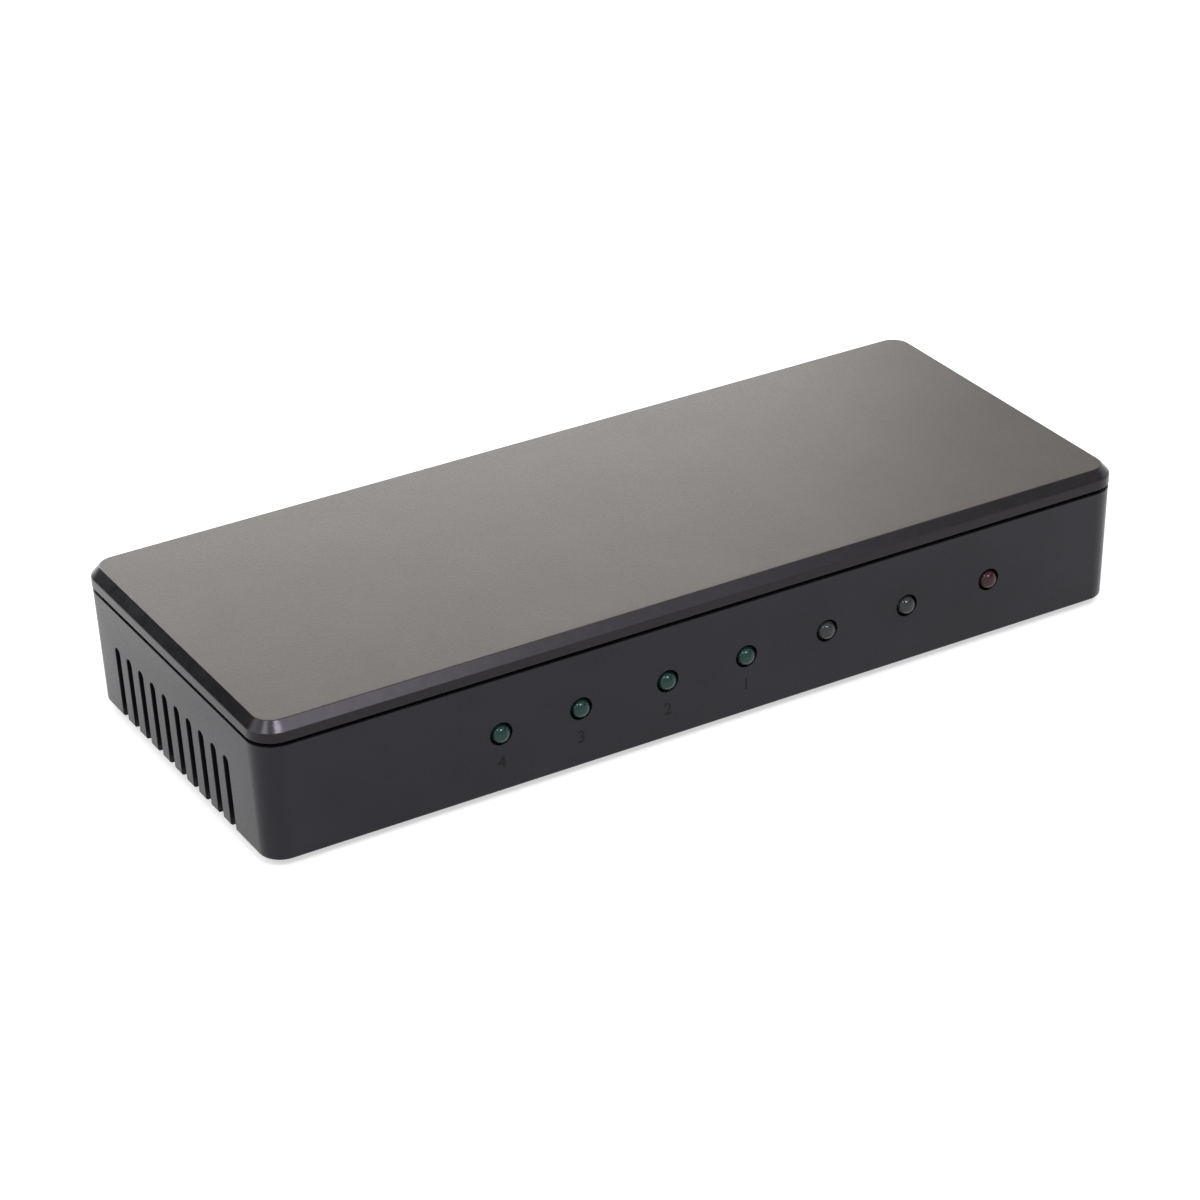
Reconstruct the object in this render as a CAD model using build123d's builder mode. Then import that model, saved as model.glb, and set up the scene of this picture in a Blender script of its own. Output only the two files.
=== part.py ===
from build123d import *
import math
import os

# Slim video splitter: a tray and a lid of plastic, with one board inside.
# X runs along the length, the lamps face -Y, the sockets face +Y and the feet stand on Z = 0.
# A name that ends in _z or _y is a place, the others are sizes, and all are in millimetres.

# Case
case_length = 147.0
case_width = 59.8
case_height = 22.4
corner_radius = 4.3
wall = 2.0
floor_thickness = 2.0
roof_thickness = 1.9
bevel_width = 1.35
bevel_height = 1.5
lip_height = 1.5
shadow_gap = 0.65
rim_setback = 0.1
side_draft = 0.66
ledge_width = 1.0
tongue_clearance = 0.1
bottom_edge_radius = 0.4
cut_overrun = 1.0

# Vent slots in the left end, which run on under its bottom edge
slot_count = 10
slot_pitch = 4.1
slot_width = 1.7
slot_top_height = 12.1
slot_run_under = 8.5
slot_row_shift = 1.2

# Screw posts, feet and their recesses
post_inset = 7.5
post_edge_inset = 6.9
post_radius = 3.6
post_joint_height = 10.5
lid_boss_radius = 3.0
lid_boss_hole_depth = 7.5
foot_radius = 3.5
foot_proud = 1.2
foot_recess_depth = 0.5
foot_clearance = 0.2
foot_edge_radius = 0.4
case_screw_radius = 1.3
case_screw_length = 12.0
case_screw_sink = 3.6
screw_head_clearance = 0.2
screw_hole_clearance = 0.2
thread_clearance = 0.03

# Screw heads and their cross recess
case_screw_head_radius = 2.5
case_screw_head_height = 1.7
board_screw_head_radius = 2.2
board_screw_head_height = 1.5
recess_arm = 1.2
recess_width = 0.5
recess_depth = 0.8

# Circuit board and what holds it
board_boss_height = 2.2
board_boss_radius = 2.6
board_thickness = 1.6
board_clearance = 0.4
board_screw_radius = 1.1
board_screw_length = 4.4
board_pilot_depth = 3.1
board_screw_x_share = 0.425
board_screw_jack_gap = 0.8068

# Lamps along the front edge, placed by shares of their row from its left end
# A negative sink lets the domes stand proud of the front
lamp_names = (
    "lamp_output_4",
    "lamp_output_3",
    "lamp_output_2",
    "lamp_output_1",
    "lamp_input",
    "lamp_link",
    "lamp_power",
)
lamp_place_shares = (0, 0.155, 0.327, 0.487, 0.654, 0.823, 1)
lamp_row_left_margin = 37.85
lamp_row_right_margin = 24.25
lamp_height = 9.63
lamp_hole_radius = 1.8
lamp_sink = -1.0
lens_radius = 1.5
lens_length = 5.0
lens_flange_radius = 1.9
lens_flange_thickness = 1.0
lens_clearance = 0.05
holder_half_width = 2.3
holder_clearance = 0.25
leg_pitch = 2.54
leg_size = 0.5
leg_reach = 1.6
leg_tail = 1.0
leg_hole_radius = 0.45

# Video sockets along the rear, placed by shares of their row from the power inlet to the far post
socket_place_shares = (0, 0.25, 0.5, 0.75, 1)
socket_names = ("video_in", "video_out_1", "video_out_2", "video_out_3", "video_out_4")
socket_jack_gap = 8.051
socket_post_gap = 2.921
socket_width = 14.0
socket_height = 4.55
socket_side_height = 2.7
socket_base_width = 10.0
socket_corner_radius = 0.5
socket_depth = 11.5
socket_sink = 0.2
sheet = 0.3
opening_clearance = 0.3
shell_leg_width = 1.4
shell_leg_tail = 0.8
shell_leg_setbacks = (5.0, 10.2)
shell_leg_clearance = 0.15
spring_length = 4.5
spring_width = 1.6
spring_cut = 0.4
spring_setback = 3.0
spring_spacing = 6.4
insulator_clearance = 0.05
block_depth = 3.4
block_overhang = 0.6
tongue_setback = 2.8
tongue_width = 10.6
tongue_thickness = 1.1
contact_count = 19
contact_pitch = 0.5
contact_width = 0.3
contact_thickness = 0.2
contact_tip_inset = 0.5
contact_back_gap = 0.3
contact_foot = 0.9

# Power inlet
jack_post_gap = 0.864
jack_width = 9.0
jack_height = 10.4
jack_centre_height = 6.2
jack_front_depth = 3.6
jack_depth = 14.2
jack_barrel_radius = 4.1
jack_bore_radius = 3.15
jack_bore_depth = 10.6
jack_pin_radius = 1.0
jack_pin_root_radius = 1.3
jack_pin_setback = 0.9
jack_pin_tip_radius = 0.4
jack_fit_clearance = 0.03
tab_thickness = 0.6
tab_width = 2.4
tab_tail = 1.4
tab_clearance = 0.2
spring_channel_width = 3.0
spring_channel_depth = 0.9
jack_spring_thickness = 0.3
jack_spring_length = 8.0
jack_spring_setback = 1.6

# Splitter chip with its heat sink, placed between the first two outputs
chip_size = 14.0
chip_height = 1.4
chip_lift = 0.1
chip_leads_per_side = 24
chip_lead_pitch = 0.5
chip_lead_width = 0.25
chip_lead_thickness = 0.15
chip_lead_reach = 0.6
chip_lead_foot = 0.6
chip_y_share = -0.09
pad_size = 12.0
pad_thickness = 0.5
sink_size = 19.0
sink_base = 2.0
sink_fin_count = 7
sink_fin_thickness = 1.1
sink_fin_height = 5.0

# Settings memory, one small chip behind each socket
memory_length = 4.9
memory_width = 3.9
memory_height = 1.4
memory_lift = 0.1
memory_leads_per_side = 4
memory_lead_pitch = 1.27
memory_lead_width = 0.42
memory_lead_thickness = 0.2
memory_lead_reach = 0.5
memory_lead_foot = 0.5
memory_gap = 2.3151

# Protection arrays, two behind each socket
array_length = 2.5
array_width = 1.0
array_height = 0.6
array_spacing = 6.0
array_gap = 0.7

# Voltage regulator
regulator_length = 6.5
regulator_width = 3.5
regulator_height = 1.6
regulator_lift = 0.1
regulator_lead_pitch = 2.3
regulator_lead_width = 0.7
regulator_tab_width = 3.0
regulator_lead_thickness = 0.25
regulator_lead_reach = 0.8
regulator_lead_foot = 0.9
regulator_x_share = 0.22
regulator_y_share = 0.02

# Crystal
crystal_length = 10.8
crystal_width = 4.4
crystal_height = 3.5
crystal_base_height = 0.5
crystal_base_rim = 0.4
crystal_x_share = -0.16
crystal_y_share = -0.12

# Electrolytic capacitors on square bases
capacitor_radius = 3.15
capacitor_height = 7.4
capacitor_edge_radius = 0.35
capacitor_groove_radius = 0.35
capacitor_groove_height = 1.6
capacitor_base_size = 6.8
capacitor_base_height = 0.9
capacitor_base_chamfer = 1.3
capacitor_x_shares = (0.16, 0.30, 0.40)
capacitor_y_shares = (-0.22, -0.20, 0.04)

# Power inductor
inductor_size = 7.0
inductor_height = 4.0
inductor_chamfer = 1.2
inductor_rim = 1.1
inductor_core_radius = 2.6
inductor_core_drop = 0.4
inductor_x_share = 0.30
inductor_y_share = 0.03

# Small chip parts
small_chip_length = 1.6
small_chip_width = 0.8
small_chip_height = 0.7
small_chip_y_spacing = 3.0
small_chip_rows = 5
small_chip_gap = 2.2
lamp_resistor_gap = 2.4

# Heights of the case
underside_z = foot_proud
lid_top_z = underside_z + case_height
lid_bottom_z = lid_top_z - bevel_height - lip_height
rim_z = lid_bottom_z - shadow_gap
roof_z = lid_top_z - roof_thickness
floor_z = underside_z + floor_thickness
post_top_z = underside_z + post_joint_height
draft_angle = math.degrees(math.atan(side_draft / (rim_z - underside_z)))
board_bottom_z = floor_z + board_boss_height
board_top_z = board_bottom_z + board_thickness
lamp_z = underside_z + lamp_height
socket_z = board_top_z + sheet + socket_height / 2
jack_z = board_top_z + jack_centre_height

# Plan of the case at its rim
rim_length = case_length - 2 * rim_setback
rim_width = case_width - 2 * rim_setback
rim_radius = corner_radius - rim_setback


def side_inset(z):
    """How far the outside of the case lies in from the lid's edge at this height."""
    return rim_setback + side_draft * (rim_z - z) / (rim_z - underside_z)


def centred(count, pitch):
    """Places of a row of this many things about its own middle."""
    return [(i - (count - 1) / 2) * pitch for i in range(count)]


# Places in plan
post_x = case_length / 2 - post_inset
post_y = case_width / 2 - post_edge_inset
board_length = case_length - 2 * (side_inset(board_bottom_z) + wall + board_clearance)
board_width = case_width - 2 * (side_inset(board_bottom_z) + wall + board_clearance)
lamp_row_length = case_length - lamp_row_left_margin - lamp_row_right_margin
lamp_row_shift = (lamp_row_left_margin - lamp_row_right_margin) / 2
lamp_xs = [lamp_row_shift + (share - 1 / 2) * lamp_row_length for share in lamp_place_shares]
post_side_x = post_x - post_radius
jack_x = post_side_x - jack_post_gap - jack_width / 2
socket_row_end_x = jack_x - jack_width / 2 - socket_jack_gap - socket_width / 2
socket_row_length = socket_row_end_x + post_side_x - socket_post_gap - socket_width / 2
socket_xs = [socket_row_end_x - share * socket_row_length for share in socket_place_shares]
chip_x = (socket_xs[1] + socket_xs[2]) / 2
chip_y = chip_y_share * board_width
mouth_y = case_width / 2 - side_inset(socket_z) - socket_sink
jack_mouth_y = case_width / 2 - side_inset(jack_z) - socket_sink
jack_back_y = jack_mouth_y - jack_depth
contact_drop_y = mouth_y - socket_depth - block_overhang - contact_back_gap
lens_tip_y = side_inset(lamp_z) + lamp_sink - case_width / 2
lens_base_y = lens_tip_y + lens_length
leg_drop_y = lens_base_y + leg_reach
holder_front_y = side_inset(board_top_z) + wall + holder_clearance - case_width / 2
array_y = contact_drop_y - contact_foot - array_gap - array_width / 2
memory_reach = memory_width / 2 + memory_lead_reach + memory_lead_foot
memory_y = array_y - array_width / 2 - memory_gap - memory_reach
board_screw_y = jack_back_y - board_screw_head_radius - board_screw_jack_gap


def corner_places(x, y):
    """The four places that mirror one corner's place about both middles."""
    return [(side * x, end * y) for side in (-1, 1) for end in (-1, 1)]


post_places = corner_places(post_x, post_y)
shell_leg_x = (socket_width + sheet) / 2
shell_leg_places = [(side * shell_leg_x, mouth_y - back) for side in (-1, 1) for back in shell_leg_setbacks]
board_screw_places = corner_places(board_screw_x_share * board_length, board_screw_y)


def rear_plane(x, y, z):
    """A plane square to the rear, with X to the right, Z up and its normal into the case."""
    return Plane(origin=(x, y, z), x_dir=(1, 0, 0), z_dir=(0, -1, 0))


def end_plane(x):
    """A plane square to the length, with Y to the right, Z up and its normal along the length."""
    return Plane(origin=(x, 0, 0), x_dir=(0, 1, 0), z_dir=(1, 0, 0))


def socket_outline(grow):
    """Adds the socket's outline, wide side up, to the sketch that is open."""
    top = socket_height / 2
    step = top - socket_side_height
    wide = socket_width / 2
    narrow = socket_base_width / 2
    with BuildSketch(mode=Mode.PRIVATE) as outline:
        Polygon(
            (-wide, top),
            (-wide, step),
            (-narrow, -top),
            (narrow, -top),
            (wide, step),
            (wide, top),
            align=None,
        )
        fillet(outline.vertices(), socket_corner_radius)
        if grow:
            offset(amount=grow)
    add(outline.sketch)


def flat_lead(reach, rise, foot, thickness, width):
    """One lead along X: level for its reach, straight down to Z = 0, then a foot."""
    edge = thickness / 2
    with BuildPart() as lead:
        with BuildSketch(Plane.XZ):
            Polygon(
                (0, rise + edge),
                (reach, rise + edge),
                (reach, thickness),
                (reach + foot, thickness),
                (reach + foot, 0),
                (reach - thickness, 0),
                (reach - thickness, rise - edge),
                (0, rise - edge),
                align=None,
            )
        extrude(amount=width / 2, both=True)
    return lead.part


def save(part, name):
    part.label = name
    export_step(part, f"parts/{name}.step")


os.makedirs("parts", exist_ok=True)

# Lid: a bevelled slab with a short lip, hollowed from below, with a boss for each case screw
with BuildPart() as top_cover:
    with BuildSketch(Plane.XY.offset(lid_bottom_z)):
        RectangleRounded(case_length, case_width, corner_radius)
    extrude(amount=lid_top_z - lid_bottom_z)
    top_face = top_cover.faces().sort_by(Axis.Z)[-1]
    chamfer(top_face.edges(), length=bevel_width, length2=bevel_height, reference=top_face)
    with BuildSketch(Plane.XY.offset(lid_bottom_z)):
        inset = ledge_width - tongue_clearance
        RectangleRounded(rim_length - 2 * inset, rim_width - 2 * inset, rim_radius - inset)
    extrude(amount=roof_z - lid_bottom_z, mode=Mode.SUBTRACT)
    with BuildSketch(Plane.XY.offset(post_top_z)):
        with Locations(*post_places):
            Circle(lid_boss_radius)
    extrude(amount=roof_z - post_top_z)
    with BuildSketch(Plane.XY.offset(post_top_z)):
        with Locations(*post_places):
            Circle(case_screw_radius + thread_clearance)
    extrude(amount=lid_boss_hole_depth, mode=Mode.SUBTRACT)
save(top_cover.part, "top_cover")

# Tray: drafted sides, a tongue that the lid seats on, posts, bosses and every opening
with BuildPart() as bottom_case:
    with BuildSketch(Plane.XY.offset(rim_z)):
        RectangleRounded(rim_length, rim_width, rim_radius)
    extrude(amount=underside_z - rim_z, taper=draft_angle)
    fillet(bottom_case.faces().sort_by(Axis.Z)[0].edges(), bottom_edge_radius)
    with BuildSketch(Plane.XY.offset(rim_z)):
        RectangleRounded(rim_length - 2 * wall, rim_width - 2 * wall, rim_radius - wall)
    extrude(amount=floor_z - rim_z, taper=draft_angle, mode=Mode.SUBTRACT)
    # Tongue
    with BuildSketch(Plane.XY.offset(rim_z)):
        RectangleRounded(rim_length - 2 * ledge_width, rim_width - 2 * ledge_width, rim_radius - ledge_width)
        RectangleRounded(rim_length - 2 * wall, rim_width - 2 * wall, rim_radius - wall, mode=Mode.SUBTRACT)
    extrude(amount=roof_z - rim_z)
    # Screw posts and board bosses
    with BuildSketch(Plane.XY.offset(floor_z)):
        with Locations(*post_places):
            Circle(post_radius)
    extrude(amount=post_top_z - floor_z)
    with BuildSketch(Plane.XY.offset(floor_z)):
        with Locations(*board_screw_places):
            Circle(board_boss_radius)
    extrude(amount=board_boss_height)
    with BuildSketch(Plane.XY.offset(board_bottom_z)):
        with Locations(*board_screw_places):
            Circle(board_screw_radius + thread_clearance)
    extrude(amount=-board_pilot_depth, mode=Mode.SUBTRACT)
    # Each case screw's hole, the bore for its head and the recess of the foot below it
    for radius, depth in (
        (case_screw_radius + screw_hole_clearance, post_joint_height),
        (case_screw_head_radius + screw_head_clearance, case_screw_sink),
        (foot_radius + foot_clearance, foot_recess_depth),
    ):
        with BuildSketch(Plane.XY.offset(underside_z)):
            with Locations(*post_places):
                Circle(radius)
        extrude(amount=depth, mode=Mode.SUBTRACT)
    # Lamp holes through the front
    with BuildSketch(rear_plane(0, -case_width / 2, 0)):
        with Locations(*[(x, lamp_z) for x in lamp_xs]):
            Circle(lamp_hole_radius)
    extrude(amount=-(side_inset(underside_z) + wall), mode=Mode.SUBTRACT)
    # Socket openings through the rear
    for x in socket_xs:
        with BuildSketch(rear_plane(x, case_width / 2, socket_z)):
            socket_outline(sheet + opening_clearance)
        extrude(amount=side_inset(underside_z) + wall, mode=Mode.SUBTRACT)
    with BuildSketch(rear_plane(jack_x, case_width / 2, board_top_z - opening_clearance)):
        Rectangle(
            jack_width + 2 * opening_clearance,
            jack_height + 2 * opening_clearance,
            align=(Align.CENTER, Align.MIN),
        )
    extrude(amount=side_inset(underside_z) + wall, mode=Mode.SUBTRACT)
    # Vent slots: upright through the left end, then along the floor to a round end
    slot_ys = [slot_row_shift + y for y in centred(slot_count, slot_pitch)]
    slot_radius = slot_width / 2
    slot_start_z = underside_z - cut_overrun
    slot_centre_z = underside_z + slot_top_height - slot_radius
    with BuildSketch(end_plane(-case_length / 2)):
        with Locations(*[(y, slot_start_z) for y in slot_ys]):
            Rectangle(slot_width, slot_centre_z - slot_start_z, align=(Align.CENTER, Align.MIN))
        with Locations(*[(y, slot_centre_z) for y in slot_ys]):
            Circle(slot_radius)
    extrude(amount=side_inset(underside_z) + wall, mode=Mode.SUBTRACT)
    slot_end_x = slot_run_under - slot_radius - case_length / 2
    with BuildSketch(Plane.XY.offset(slot_start_z)):
        with Locations(*[(slot_end_x, y) for y in slot_ys]):
            Rectangle(slot_run_under, slot_width, align=(Align.MAX, Align.CENTER))
            Circle(slot_radius)
    extrude(amount=floor_z - slot_start_z, mode=Mode.SUBTRACT)
save(bottom_case.part, "bottom_case")

# Circuit board, cut away round the posts and pierced for screws, legs and tabs
with BuildPart() as circuit_board:
    with BuildSketch(Plane.XY.offset(board_bottom_z)):
        Rectangle(board_length, board_width)
        notch_x = board_length / 2 - post_x + post_radius + board_clearance
        notch_y = board_width / 2 - post_y + post_radius + board_clearance
        with GridLocations(board_length, board_width, 2, 2):
            Rectangle(2 * notch_x, 2 * notch_y, mode=Mode.SUBTRACT)
        with Locations(*board_screw_places):
            Circle(board_screw_radius + screw_hole_clearance, mode=Mode.SUBTRACT)
        with Locations(*[(x + side * leg_pitch / 2, leg_drop_y) for x in lamp_xs for side in (-1, 1)]):
            Circle(leg_hole_radius, mode=Mode.SUBTRACT)
        with Locations(*[(x + place_x, y) for x in socket_xs for place_x, y in shell_leg_places]):
            Rectangle(
                sheet + 2 * shell_leg_clearance,
                shell_leg_width + 2 * shell_leg_clearance,
                mode=Mode.SUBTRACT,
            )
        spring_tab_y = jack_mouth_y - jack_spring_setback - jack_spring_length + tab_thickness / 2
        with Locations((jack_x, jack_back_y - tab_thickness / 2), (jack_x, spring_tab_y)):
            Rectangle(tab_width + 2 * tab_clearance, tab_thickness + 2 * tab_clearance, mode=Mode.SUBTRACT)
    extrude(amount=board_thickness)
save(circuit_board.part, "circuit_board")


def build_screws(name, places, seat_z, points_up, head_radius, head_height, shank_radius, shank_length):
    """Four pan head screws with a cross recess, all seated at one height."""
    way = 1 if points_up else -1
    with BuildPart() as screws:
        with BuildSketch(Plane.XY.offset(seat_z)):
            with Locations(*places):
                Circle(head_radius)
        extrude(amount=-way * head_height)
        outer_rims = screws.edges().filter_by(GeomType.CIRCLE).group_by(Axis.Z)[0 if points_up else -1]
        fillet(outer_rims, head_height / 2)
        with BuildSketch(Plane.XY.offset(seat_z - way * head_height)):
            with Locations(*places):
                Rectangle(2 * recess_arm, recess_width)
                Rectangle(recess_width, 2 * recess_arm)
        extrude(amount=way * recess_depth, mode=Mode.SUBTRACT)
        with BuildSketch(Plane.XY.offset(seat_z)):
            with Locations(*places):
                Circle(shank_radius)
        extrude(amount=way * shank_length)
        tips = screws.edges().filter_by(GeomType.CIRCLE).group_by(Axis.Z)[-1 if points_up else 0]
        chamfer(tips, shank_radius / 2)
    save(screws.part, name)


build_screws(
    "board_screws",
    board_screw_places,
    board_top_z,
    False,
    board_screw_head_radius,
    board_screw_head_height,
    board_screw_radius,
    board_screw_length,
)
build_screws(
    "case_screws",
    post_places,
    underside_z + case_screw_sink,
    True,
    case_screw_head_radius,
    case_screw_head_height,
    case_screw_radius,
    case_screw_length,
)

# Rubber feet, pressed up into their recesses over the screws
with BuildPart() as rubber_feet:
    with BuildSketch(Plane.XY):
        with Locations(*post_places):
            Circle(foot_radius)
    extrude(amount=foot_proud + foot_recess_depth)
    fillet(rubber_feet.edges().filter_by(GeomType.CIRCLE).group_by(Axis.Z)[0], foot_edge_radius)
save(rubber_feet.part, "rubber_feet")

# Lamps: a domed lens with a flange, two legs bent down into the board, and a holder that stands on it
for name, x in zip(lamp_names, lamp_xs):
    with BuildPart() as lens:
        with BuildSketch(Plane(origin=(x, lens_base_y, lamp_z), x_dir=(1, 0, 0), z_dir=(0, 0, -1))):
            dome_start = lens_length - lens_radius
            with BuildLine():
                Polyline(
                    (0, lens_length),
                    (0, 0),
                    (lens_flange_radius, 0),
                    (lens_flange_radius, lens_flange_thickness),
                    (lens_radius, lens_flange_thickness),
                    (lens_radius, dome_start),
                )
                RadiusArc((lens_radius, dome_start), (0, lens_length), -lens_radius)
            make_face()
        revolve(axis=Axis((x, lens_base_y, lamp_z), (0, 1, 0)))
    save(lens.part, name)

with BuildPart() as lamp_legs:
    for x in lamp_xs:
        for side in (-1, 1):
            with BuildSketch(end_plane(x + side * leg_pitch / 2)):
                with Locations((lens_base_y, lamp_z)):
                    Rectangle(leg_reach + leg_size / 2, leg_size, align=(Align.MIN, Align.CENTER))
                with Locations((leg_drop_y, lamp_z + leg_size / 2)):
                    drop = lamp_z + leg_size / 2 - board_bottom_z + leg_tail
                    Rectangle(leg_size, drop, align=(Align.CENTER, Align.MAX))
            extrude(amount=leg_size / 2, both=True)
save(lamp_legs.part, "lamp_legs")

with BuildPart() as lamp_holders:
    for x in lamp_xs:
        holder_depth = lens_base_y - holder_front_y
        with BuildSketch(rear_plane(x, lens_base_y, board_top_z)):
            Rectangle(
                2 * holder_half_width,
                lamp_z - board_top_z + holder_half_width,
                align=(Align.CENTER, Align.MIN),
            )
        extrude(amount=holder_depth)
        for radius, depth in (
            (lens_radius, holder_depth),
            (lens_flange_radius, lens_flange_thickness + lens_clearance),
        ):
            with BuildSketch(rear_plane(x, lens_base_y, lamp_z)):
                Circle(radius + lens_clearance)
            extrude(amount=depth, mode=Mode.SUBTRACT)
save(lamp_holders.part, "lamp_holders")


# Video socket, made once at X = 0: its mouth, and the plane where its insulator's block starts
mouth = rear_plane(0, mouth_y, socket_z)
block_front = mouth.offset(socket_depth - block_depth)

# Folded shell, with two spring tongues cut in its top and four legs through the board
with BuildPart() as socket_shell:
    with BuildSketch(mouth):
        socket_outline(sheet)
    extrude(amount=socket_depth)
    with BuildSketch(mouth):
        socket_outline(0)
    extrude(amount=socket_depth, mode=Mode.SUBTRACT)
    with BuildSketch(Plane.XY.offset(socket_z + socket_height / 2)):
        with Locations(*[(step, mouth_y - spring_setback) for step in centred(2, spring_spacing)]):
            Rectangle(
                spring_width + 2 * spring_cut,
                spring_length + spring_cut,
                align=(Align.CENTER, Align.MAX),
            )
            Rectangle(spring_width, spring_length, align=(Align.CENTER, Align.MAX), mode=Mode.SUBTRACT)
    extrude(amount=sheet, mode=Mode.SUBTRACT)
    with BuildSketch(Plane.XY.offset(board_bottom_z - shell_leg_tail)):
        with Locations(*shell_leg_places):
            Rectangle(sheet, shell_leg_width)
    extrude(amount=socket_z - board_bottom_z + shell_leg_tail)

# Insulator: a block that closes the back of the shell, and the tongue that carries the contacts
with BuildPart() as socket_insulator:
    with BuildSketch(block_front):
        socket_outline(-insulator_clearance)
    extrude(amount=block_depth + block_overhang)
    with BuildSketch(block_front):
        with Locations(*[(0, row * (tongue_thickness + contact_thickness) / 2) for row in (-1, 1)]):
            Rectangle(contact_count * contact_pitch, contact_thickness)
    extrude(amount=block_depth + block_overhang, mode=Mode.SUBTRACT)
    with BuildSketch(mouth.offset(tongue_setback)):
        Rectangle(tongue_width, tongue_thickness)
    extrude(amount=socket_depth - block_depth - tongue_setback)

# Contacts, by turns over and under the tongue, with all their feet in one row on the board
with BuildPart() as socket_contacts:
    tip_y = mouth_y - tongue_setback - contact_tip_inset
    for row in (0, 1):
        row_z = socket_z - (row - 1 / 2) * (tongue_thickness + contact_thickness)
        contact = flat_lead(
            tip_y - contact_drop_y,
            row_z - board_top_z,
            contact_foot,
            contact_thickness,
            contact_width,
        )
        with Locations(Location((0, tip_y, board_top_z), (0, 0, -90))):
            with Locations(*[(0, step) for step in centred(contact_count, contact_pitch)[row::2]]):
                add(contact)

# The same socket at each of its five places
for name, x in zip(socket_names, socket_xs):
    for piece, made in (
        ("shell", socket_shell),
        ("insulator", socket_insulator),
        ("contacts", socket_contacts),
    ):
        with BuildPart() as placed:
            with Locations((x, 0, 0)):
                add(made.part)
        save(placed.part, f"{name}_{piece}")

# Power inlet: a square front on a round barrel, with a bore, a spring's channel and a hole for the pin
jack_mouth = rear_plane(jack_x, jack_mouth_y, board_top_z)
jack_centre = rear_plane(jack_x, jack_mouth_y, jack_z)
channel_base_z = jack_z - jack_bore_radius - spring_channel_depth
spring_back_y = jack_mouth_y - jack_spring_setback - jack_spring_length
with BuildPart() as power_jack_housing:
    with BuildSketch(jack_mouth):
        Rectangle(jack_width, jack_height, align=(Align.CENTER, Align.MIN))
    extrude(amount=jack_front_depth)
    with BuildSketch(jack_centre):
        Circle(jack_barrel_radius)
    extrude(amount=jack_depth)
    with BuildSketch(jack_mouth):
        Rectangle(2 * jack_barrel_radius, jack_centre_height, align=(Align.CENTER, Align.MIN))
    extrude(amount=jack_depth)
    with BuildSketch(jack_centre):
        Circle(jack_bore_radius)
    extrude(amount=jack_bore_depth, mode=Mode.SUBTRACT)
    with BuildSketch(jack_centre):
        Circle(jack_pin_root_radius + jack_fit_clearance)
    extrude(amount=jack_depth, mode=Mode.SUBTRACT)
    # Channel of the spring below the bore, and the hole for its tab
    with BuildSketch(Plane.XY.offset(channel_base_z)):
        with Locations((jack_x, jack_mouth_y - jack_spring_setback)):
            Rectangle(spring_channel_width, jack_spring_length, align=(Align.CENTER, Align.MAX))
    extrude(amount=jack_z - channel_base_z, mode=Mode.SUBTRACT)
    with BuildSketch(Plane.XY.offset(board_top_z)):
        with Locations((jack_x, spring_back_y)):
            Rectangle(
                tab_width + 2 * tab_clearance,
                tab_thickness + tab_clearance,
                align=(Align.CENTER, Align.MIN),
            )
    extrude(amount=channel_base_z - board_top_z, mode=Mode.SUBTRACT)
save(power_jack_housing.part, "power_jack_housing")

# Centre pin: a thick root in the housing's back, a slim free end, and a tab down through the board
with BuildPart() as power_jack_pin:
    with BuildSketch(rear_plane(jack_x, jack_back_y, jack_z)):
        Circle(jack_pin_radius)
    extrude(amount=jack_pin_setback - jack_depth)
    tip_edges = power_jack_pin.edges().filter_by(GeomType.CIRCLE).group_by(Axis.Y)[-1]
    fillet(tip_edges, jack_pin_tip_radius)
    with BuildSketch(rear_plane(jack_x, jack_back_y, jack_z)):
        Circle(jack_pin_root_radius)
    extrude(amount=jack_bore_depth - jack_depth)
    with BuildSketch(rear_plane(jack_x, jack_back_y, board_bottom_z - tab_tail)):
        Rectangle(
            tab_width,
            jack_z + jack_pin_root_radius - board_bottom_z + tab_tail,
            align=(Align.CENTER, Align.MIN),
        )
    extrude(amount=tab_thickness)
save(power_jack_pin.part, "power_jack_pin")

# Outer contact: a strip on the channel's floor, whose free front end rises towards the bore
with BuildPart() as power_jack_spring:
    rise = spring_channel_depth - jack_spring_thickness
    with BuildSketch(end_plane(jack_x)):
        with Locations((spring_back_y, channel_base_z)):
            Polygon(
                (0, 0),
                (jack_spring_length / 2, 0),
                (jack_spring_length - jack_spring_thickness, rise),
                (jack_spring_length - jack_spring_thickness, rise + jack_spring_thickness),
                (jack_spring_length / 2, jack_spring_thickness),
                (0, jack_spring_thickness),
                align=None,
            )
        with Locations((spring_back_y, channel_base_z + jack_spring_thickness)):
            tab_height = channel_base_z + jack_spring_thickness - board_bottom_z + tab_tail
            Rectangle(tab_thickness, tab_height, align=(Align.MIN, Align.MAX))
    extrude(amount=tab_width / 2, both=True)
save(power_jack_spring.part, "power_jack_spring")


# Splitter chip, its pad and its heat sink
with BuildPart() as splitter_chip:
    with BuildSketch(Plane.XY.offset(board_top_z + chip_lift)):
        with Locations((chip_x, chip_y)):
            Rectangle(chip_size, chip_size)
    extrude(amount=chip_height)
save(splitter_chip.part, "splitter_chip")

chip_lead = flat_lead(
    chip_lead_reach,
    chip_lift + chip_height / 2,
    chip_lead_foot,
    chip_lead_thickness,
    chip_lead_width,
)
with BuildPart() as splitter_chip_leads:
    with Locations((chip_x, chip_y, board_top_z)):
        with PolarLocations(chip_size / 2, 4):
            with GridLocations(chip_lead_pitch, chip_lead_pitch, 1, chip_leads_per_side):
                add(chip_lead)
save(splitter_chip_leads.part, "splitter_chip_leads")

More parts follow.
